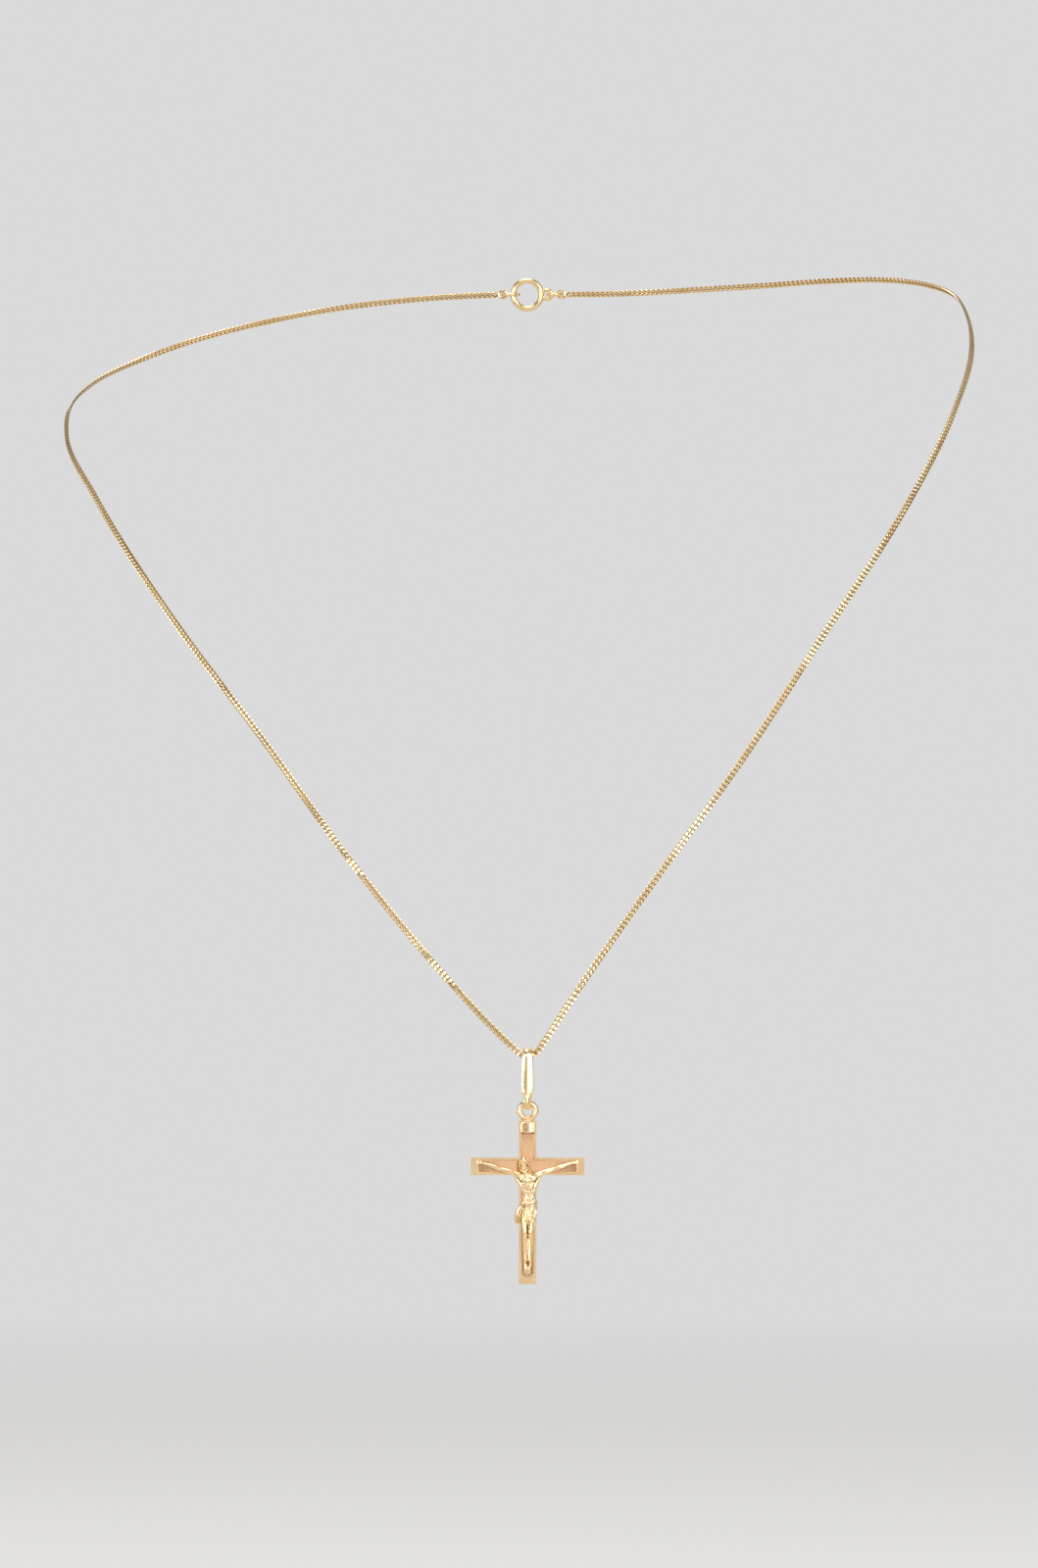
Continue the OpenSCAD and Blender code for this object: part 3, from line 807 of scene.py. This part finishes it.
clothForms = {
    "trunk": [
        (0.33, -21.98, 1.04, 0.98), (0.32, -22.35, 1.12, 1.06), (0.24, -23.4, 1.18, 1.12),
        (0.14, -24.5, 1.12, 1.12), (0.12, -24.92, 1.06, 1.1),
    ],
    "hanging": [
        (-0.52, -22.15, 0.4, 1.02), (-0.82, -22.6, 0.6, 1.06), (-1.08, -23.2, 0.7, 1.02),
        (-1.24, -23.95, 0.74, 0.92), (-1.29, -24.6, 0.72, 0.8), (-1.28, -25.02, 0.66, 0.7),
    ],
    "balls": [
        (-0.6, 1.0, -22.06, 0.3, 0.26, 0.26, 0),  # knot
    ],
    "limbs": [
        [(-0.8, 0.45, -21.86, 0.15), (-0.4, 0.86, -22.02, 0.16), (0.28, 0.98, -22.14, 0.16),
         (0.98, 0.84, -22.0, 0.16), (1.34, 0.34, -21.78, 0.15)],  # rolled waist
        [(-0.6, 0.92, -22.16, 0.13), (0.3, 1.04, -22.44, 0.15), (1.02, 0.88, -22.3, 0.15),
         (1.38, 0.36, -22.04, 0.14)],
        [(-0.36, 0.6, -22.9, 0.58), (-0.42, 0.68, -24.65, 0.54)],  # over the thighs
        [(0.64, 0.6, -22.9, 0.58), (0.52, 0.68, -24.6, 0.54)],
        [(1.28, 0.6, -22.5, 0.11), (0.78, 1.06, -23.4, 0.12), (0.38, 1.16, -24.7, 0.12),
         (0.24, 1.1, -25.95, 0.08)],  # folds to the front tip
        [(-0.45, 1.02, -22.4, 0.11), (-0.08, 1.12, -23.4, 0.12), (0.12, 1.18, -24.7, 0.12),
         (0.2, 1.1, -25.85, 0.08)],
        [(1.34, 0.62, -23.3, 0.1), (1.0, 0.98, -24.2, 0.11), (0.7, 1.1, -24.95, 0.1)],
    ],
    "tip": [(0.2, -24.6, 0.34, 1.2), (0.22, -25.3, 0.22, 1.18), (0.24, -25.95, 0.09, 1.12)],
    "marks": [
        (0.07, 0.1, (-0.62, -22.3), (-1.2, -23.1), (-1.62, -24.1), (-1.66, -25.1)),  # hanging end
        (0.07, 0.11, (-0.62, -22.35), (-1.02, -23.2), (-1.34, -24.2), (-1.36, -25.1)),
        (0.07, 0.1, (-0.6, -22.4), (-0.84, -23.2), (-1.04, -24.2), (-1.06, -25.1)),
        (0.11, 0.2, (-0.5, -22.45), (-0.56, -23.3), (-0.66, -24.2), (-0.7, -25.1)),  # beside the thigh
        (0.06, 0.07, (-0.3, -22.6), (0.02, -23.6), (0.2, -24.6), (0.23, -25.7)),
        (0.07, 0.08, (1.1, -22.8), (0.62, -23.6), (0.34, -24.6), (0.25, -25.6)),
        (0.07, 0.07, (1.22, -23.1), (0.9, -23.9), (0.58, -24.8)),
        (0.06, 0.05, (0.3, -22.75), (0.25, -23.5)), (0.06, 0.05, (0.62, -22.75), (0.46, -23.4)),
        (0.06, 0.06, (-0.36, -23.3), (-0.3, -24.4), (-0.3, -24.95)),
        (0.05, 0.06, (-0.45, -22.2), (0.3, -22.3), (1.1, -22.14)),  # between the rolls
        (0.05, 0.05, (-0.74, -22.2), (-0.46, -21.98)),  # knot
        (0.05, 0.05, (-0.7, -22.02), (-0.5, -21.86)),
    ],
}

feet = {
    "limbs": [  # the foot behind, the foot in front and the filling between them
        [(-0.28, 0.47, -30.0, 0.3), (-0.27, 0.46, -30.6, 0.335), (-0.27, 0.42, -31.2, 0.31),
         (-0.29, 0.5, -31.7, 0.27), (-0.31, 0.46, -32.1, 0.27), (-0.32, 0.34, -32.42, 0.25)],
        [(0.34, 0.48, -30.0, 0.3), (0.32, 0.48, -30.6, 0.335), (0.3, 0.46, -31.2, 0.31),
         (0.24, 0.64, -31.7, 0.28), (0.2, 0.66, -32.05, 0.31), (0.19, 0.48, -32.46, 0.31)],
        [(0.02, 0.42, -30.4, 0.22), (0.02, 0.36, -31.2, 0.26), (-0.04, 0.52, -31.9, 0.24),
         (-0.05, 0.46, -32.3, 0.24)],
    ],
    "toes": [  # x, rise, height, radius
        (-0.56, 0.24, -32.6, 0.075), (-0.44, 0.26, -32.7, 0.08), (-0.32, 0.28, -32.78, 0.085),
        (-0.2, 0.3, -32.83, 0.09),  # of the foot behind
        (-0.07, 0.4, -32.9, 0.125), (0.11, 0.38, -32.91, 0.09), (0.24, 0.36, -32.87, 0.085),
        (0.36, 0.33, -32.8, 0.08), (0.465, 0.3, -32.7, 0.075),
    ],
    "marks": [
        (0.24, 0.13, (0.02, -30.85), (0.03, -31.1)),  # over the instep
        (0.15, 0.07, (0.03, -31.1), (0.03, -31.5)),
        (0.05, 0.03, (-0.04, -31.7), (-0.1, -32.2), (-0.15, -32.7)),  # between the feet
    ] + [(0.03, 0.03, (x, -32.6), (x, -32.95)) for x in (-0.5, -0.38, -0.26, 0.02, 0.18, 0.3, 0.415)],
    "nail": (0.2, 0.95, -31.9, 0.11, 0.07, 0.11),
}

hand = {
    "palm": (7.05, 0.16, -16.0, 0.33, 0.15, 0.25), "lean": -8,
    "fingers": [  # how far each finger's root and tip lie above the palm's middle, and its tip's x
        (0.17, 0.3, 7.58), (0.06, 0.16, 7.66), (-0.05, 0.01, 7.64), (-0.15, -0.13, 7.54),
    ],
    "fingerRadii": (0.085, 0.075, 0.06),
    "thumb": [(6.92, 0.2, -15.9, 0.085), (7.08, 0.22, -15.68, 0.075), (7.24, 0.22, -15.56, 0.065)],
    "nail": 0.13,
}


def makeBody():
    bm = bmesh.new()
    addTrunk(bm, bodyForms["trunk"], depth=0.56, tall=0.30)
    addForms(bm, bodyForms)
    addLimb(bm, bodyForms["arm"])
    addLimb(bm, mirrored(bodyForms["arm"]))
    return sculpted(bm, voxel=0.042, smoothing=6, marks=bodyForms["marks"], keep=0.5)


def makeCloth():
    bm = bmesh.new()
    addTrunk(bm, clothForms["trunk"], depth=0.58, tall=0.12)
    addTrunk(bm, clothForms["hanging"], depth=0.62, tall=0.12)
    addTrunk(bm, clothForms["tip"], depth=0.8, tall=0.08)
    addForms(bm, clothForms)
    return sculpted(bm, voxel=0.036, smoothing=6, marks=clothForms["marks"], keep=0.45)


def makeHandsAndFeet():
    bm = bmesh.new()
    for limb in feet["limbs"]:
        addLimb(bm, limb)
    x, rise, z, wide, deep, tall = hand["palm"]
    rootRadius, middleRadius, tipRadius = hand["fingerRadii"]
    for side in (1, -1):
        addBall(bm, x * side, rise, z, wide, deep, tall, hand["lean"] * side)
        for root, tip, reach in hand["fingers"]:
            addLimb(bm, [
                (x * side, rise, z + root, rootRadius),
                ((x + 0.3) * side, rise + 0.03, z + (root + tip) / 2, middleRadius),
                (reach * side, rise - 0.02, z + tip, tipRadius)])
        addLimb(bm, [(place[0] * side, *place[1:]) for place in hand["thumb"]])
        addBall(bm, x * side, rise + 0.15, z, hand["nail"], 0.09, hand["nail"])
    for x, rise, z, radius in feet["toes"]:
        addLimb(bm, [(x * 0.9, rise + 0.1, z + 0.35, radius), (x, rise, z, radius)])
    addBall(bm, *feet["nail"])
    return sculpted(bm, voxel=0.028, smoothing=3, marks=feet["marks"], keep=0.55)


def makeEye():
    # the eye on its short neck, soldered to the top of the bars
    bm = bmesh.new()
    addTorus(bm, cross["eyeRadius"], cross["eyeWire"], (0, 0, eyeZ), (0, 1, 0), turns=48, sides=20)
    low, high = cross["neckRadii"]
    bmesh.ops.create_cone(
        bm, cap_ends=True, segments=24, radius1=low, radius2=high, depth=cross["neckHeight"],
        matrix=Matrix.Translation((0, 0, crossTop + cross["neckRise"])))
    return sculpted(bm, voxel=0.06, smoothing=3)


def makePlate():
    # the plain plate above the head, its ends rolled forward a little
    bm = bmesh.new()
    depth = cross["plateRise"] + cross["plateRoot"]
    roll = cross["rollRadius"]
    z = crossTop - cross["plateDrop"]
    bmesh.ops.create_cube(
        bm, size=1, matrix=Matrix.Translation((0, faceY - cross["plateRise"] + depth / 2, z))
        @ Matrix.Diagonal((cross["plateWidth"] - roll, depth, cross["plateHeight"], 1)))
    bevelEdges(bm, bm.edges[:], 0.08, segments=2)
    for side, tall in zip((-1, 1), cross["rollHeights"]):
        place = (side * (cross["plateWidth"] / 2 - roll), faceY - cross["plateRise"] + 0.02, z)
        bmesh.ops.create_cone(
            bm, cap_ends=True, segments=20, radius1=roll, radius2=roll, depth=tall,
            matrix=Matrix.Translation(place))
    width, depth, x = cross["bulge"]
    bulge = (width, depth, (x, z - cross["plateHeight"] / 2), (x, z + cross["plateHeight"] / 2))
    return sculpted(bm, voxel=0.045, smoothing=2, marks=[bulge], keep=0.5)


# head: made upright in its own millimetres, the face towards -Y, then bowed into place
headLook = {
    "place": (-0.46, 0.42, -16.28),  # of the middle of the head
    "bow": 22, "lean": -7, "turn": -14,
    "depth": 0.86,  # how far it is flattened from front to back
    "strands": 7,  # of hair on each side
    "hair": [  # grooves from the parting down each side: width, depth and points (x, height)
        (0.032, 0.045, (side * 0.08, 0.98 - 0.02 * k), (side * (0.30 + 0.10 * k), 0.82 - 0.04 * k),
         (side * (0.48 + 0.09 * k), 0.25), (side * (0.50 + 0.09 * k), -0.40),
         (side * (0.56 + 0.08 * k), -0.95), (side * (0.56 + 0.09 * k), -1.50))
        for side in (-1, 1) for k in range(5)
    ] + [  # and the beard's
        (0.03, 0.025, (x, -0.95 + 0.4 * abs(x)), (x * 0.8, -1.15), (x * 0.4, -1.36))
        for x in (-0.32, -0.16, 0.0, 0.16, 0.32)
    ],
}


def makeHead():
    look = headLook
    bm = bmesh.new()

    def lump(x, y, z, wide, deep, tall, lean=0):
        # rises are counted from the bars' face, so its place is taken back
        addBall(bm, x, faceY - y, z, wide, deep, tall, lean)

    def strand(stations):
        addLimb(bm, [(x, faceY - y, z, radius) for x, y, z, radius in stations])

    lump(0, 0.06, 0.26, 0.68, 0.84, 0.76)  # skull
    lump(0, -0.26, -0.22, 0.54, 0.50, 0.72)  # face
    lump(0, -0.44, -0.78, 0.30, 0.26, 0.24)  # chin
    strand([(0, -0.73, 0.04, 0.07), (0, -0.82, -0.16, 0.075), (0, -0.92, -0.35, 0.10)])  # nose
    for side in (-1, 1):
        lump(side * 0.09, -0.82, -0.37, 0.075, 0.09, 0.065)
        lump(side * 0.23, -0.60, -0.04, 0.15, 0.13, 0.085, side * 6)  # closed lids
        lump(side * 0.29, -0.52, -0.30, 0.20, 0.17, 0.20)  # cheeks
        strand([(side * 0.08, -0.74, 0.12, 0.06), (side * 0.26, -0.74, 0.17, 0.06),
                (side * 0.46, -0.60, 0.10, 0.05)])  # brow
        strand([(side * 0.03, -0.84, -0.48, 0.05), (side * 0.18, -0.80, -0.55, 0.06),
                (side * 0.30, -0.68, -0.72, 0.05)])  # moustache
        strand([(side * 0.52, -0.30, -0.25, 0.13), (side * 0.47, -0.42, -0.65, 0.14),
                (side * 0.22, -0.64, -0.98, 0.15), (side * 0.10, -0.74, -1.32, 0.12)])  # beard
    strand([(-0.15, -0.78, -0.60, 0.04), (0, -0.83, -0.58, 0.045), (0.15, -0.78, -0.60, 0.04)])  # lips
    strand([(-0.12, -0.77, -0.67, 0.045), (0, -0.82, -0.68, 0.05), (0.12, -0.77, -0.67, 0.045)])
    lump(0, -0.66, -1.02, 0.24, 0.20, 0.30)  # the beard's middle
    for side in (-1, 1):
        for k in range(look["strands"]):
            # hair parted in the middle, falling behind the cheeks to the shoulder
            back = k / (look["strands"] - 1)
            wave = 0.05 * math.sin(2.1 * k + side)
            strand([
                (side * 0.04, -0.66 + 0.95 * back, 0.84 + 0.22 * math.sin(back * 2.6), 0.15),
                (side * (0.40 + 0.06 * back), -0.66 + 1.0 * back, 0.66 + 0.16 * math.sin(back * 2.6), 0.15),
                (side * (0.66 + 0.10 * back), -0.46 + 0.80 * back, 0.15 + wave, 0.15),
                (side * (0.66 + 0.12 * back + wave), -0.36 + 0.62 * back, -0.45, 0.15),
                (side * (0.70 + 0.10 * back), -0.40 + 0.55 * back, -1.00 + wave, 0.14),
                (side * (0.66 + 0.20 * back - wave), -0.46 + 0.50 * back, -1.50 - 0.1 * back, 0.11),
            ])
    mesh = sculpted(bm, voxel=0.026, smoothing=3, marks=look["hair"], keep=0.5)
    angles = [math.radians(look[name]) for name in ("bow", "lean", "turn")]
    turn = Euler(angles, "ZXY").to_matrix().to_4x4()
    flatter = Matrix.Diagonal((1, look["depth"], 1, 1))
    mesh.transform(Matrix.Translation(at(*look["place"])) @ turn @ flatter)
    return mesh


def makeCrucifix():
    bars = makeBars()
    print("bars made")
    raised = [makePlate(), makeBody(), makeCloth(), makeHandsAndFeet(), makeHead()]
    mesh = joined(bars, makeEye(), *raised)
    print("figure made")

    # painted shade on the field along the foot of what stands on it
    outline = [vert.co.copy() for part in raised for vert in part.vertices if abs(vert.co.y - fieldY) < 0.05]
    nearest = KDTree(len(outline))
    for k, place in enumerate(outline):
        nearest.insert(place, k)
    nearest.balance()
    field = mesh.attributes.new("field", "FLOAT", "POINT").data
    hollowShade = mesh.attributes["hollowShade"].data
    for k, vert in enumerate(mesh.vertices):
        if abs(vert.co.y - fieldY) < 0.001:
            field[k].value = 1
            away = nearest.find(vert.co)[2] / cross["shadeReach"]
            before = hollowShade[k].value if away > 0.2 else 0
            hollowShade[k].value = max(before, cross["paintedShade"] * math.exp(-away * away))
    mesh.transform(Matrix.Translation(hang))
    finishPiece("cast_crucifix", mesh, crossGold, "pendant", "crucifix", sharpAngle=40)


makeCrucifix()

for node in ("clasp", "end_ring_left", "end_ring_right"):
    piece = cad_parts[node]
    piece.data.materials.clear()
    piece.data.materials.append(fittingsGold)


# floor, light and surroundings
studio = {
    "floorDrop": 200,  # below the clasp, mm
    "floorRadius": 3.0, "floorFade": (0.25, 1.1),  # m
    "floorColour": (0.64, 0.63, 0.61, 1), "floorMottle": (0.59, 0.58, 0.56, 1),
    "backdrop": (0.74, 0.74, 0.74, 1), "backdropStrength": 0.95,
    "tentColour": (0.97, 0.98, 1.0, 1),
    "tent": 0.9,  # how bright the front, back, left and right are
    "gap": 0.62,  # how much darker it is between them
    "gapStart": (0.12, 0.50), "gapEnd": (0.60, 0.95),  # how far to the side it comes and goes
    "brighter": (-0.5, 0.7),  # how far up it grows brighter
    "lamps": [  # name, place and aim in m, size in m, power in W
        ("key", (1.0, -1.5, 0.6), (0, -0.1, -0.1), (0.5, 0.9), 8),
        ("strip", (0.66, -1.6, 0.05), (0, -0.1, -0.1), (0.5, 0.9), 5),
        ("fill", (-1.1, -1.2, 0.1), (0, -0.1, -0.1), (0.5, 1.0), 9),
        ("top", (-0.2, -0.3, 1.3), (0, -0.05, -0.1), (1.0, 0.7), 12),
    ],
}


def makeStage():
    bm = bmesh.new()
    bmesh.ops.create_circle(bm, cap_ends=True, segments=96, radius=studio["floorRadius"])
    bmesh.ops.translate(bm, verts=bm.verts, vec=(0, 0, -studio["floorDrop"] * mm))
    floor = placed("floor", meshFrom(bm, "floor"))
    maker = NodeMaker(bpy.data.materials.new("floorPaper"))
    place = maker.node("ShaderNodeTexCoord", {}, {}, "Object")
    away = maker.node("ShaderNodeVectorMath", {"operation": "LENGTH"}, {0: place}, "Value")
    tone = maker.node("ShaderNodeTexNoise", {}, {"Vector": place, "Scale": 3.0, "Detail": 2.0})
    shade = maker.mix(tone * 0.15, studio["floorColour"], studio["floorMottle"])
    paper = maker.node("ShaderNodeBsdfPrincipled", {}, {"Base Color": shade, "Roughness": 0.9})
    clear = maker.node("ShaderNodeBsdfTransparent", {}, {})
    floor.data.materials.append(maker.finish(maker.node(
        "ShaderNodeMixShader", {}, {0: maker.between(away, *studio["floorFade"]), 1: paper, 2: clear})))


def makeLight(name, place, aim, size, power):
    light = bpy.data.lights.new(name, "AREA")
    light.shape = "RECTANGLE"
    light.size, light.size_y = size
    light.energy = power
    lamp = placed(name, light)
    lamp.location = place
    lamp.rotation_euler = (Vector(aim) - Vector(place)).to_track_quat("-Z", "Y").to_euler()
    lamp.visible_camera = False


def makeWorld():
    # a pale tent with darker gaps between its sides, and a plain backdrop for the camera
    maker = NodeMaker(bpy.data.worlds.new("room"))
    direction = maker.node("ShaderNodeTexCoord", {}, {}, "Generated")
    split = maker.node("ShaderNodeSeparateXYZ", {}, {0: direction})
    aside = maker.node("ShaderNodeMath", {"operation": "ABSOLUTE"}, {0: split.output("X")})
    gap = maker.between(aside, *studio["gapStart"]) - maker.between(aside, *studio["gapEnd"]) * 0.8
    height = maker.between(split.output("Z"), *studio["brighter"]) * 0.5 + 0.6
    tent = (studio["tent"] - gap * studio["gap"]) * height
    lit = maker.node("ShaderNodeBackground", {}, {"Color": studio["tentColour"], "Strength": tent})
    seen = maker.node(
        "ShaderNodeBackground", {}, {"Color": studio["backdrop"], "Strength": studio["backdropStrength"]})
    byCamera = maker.node("ShaderNodeLightPath", {}, {}, "Is Camera Ray")
    bpy.context.scene.world = maker.finish(
        maker.node("ShaderNodeMixShader", {}, {0: byCamera, 1: lit, 2: seen}), "ShaderNodeOutputWorld")


makeStage()
for lamp in studio["lamps"]:
    makeLight(*lamp)
makeWorld()
bpy.context.scene.view_settings.view_transform = "Standard"
print("stage made")
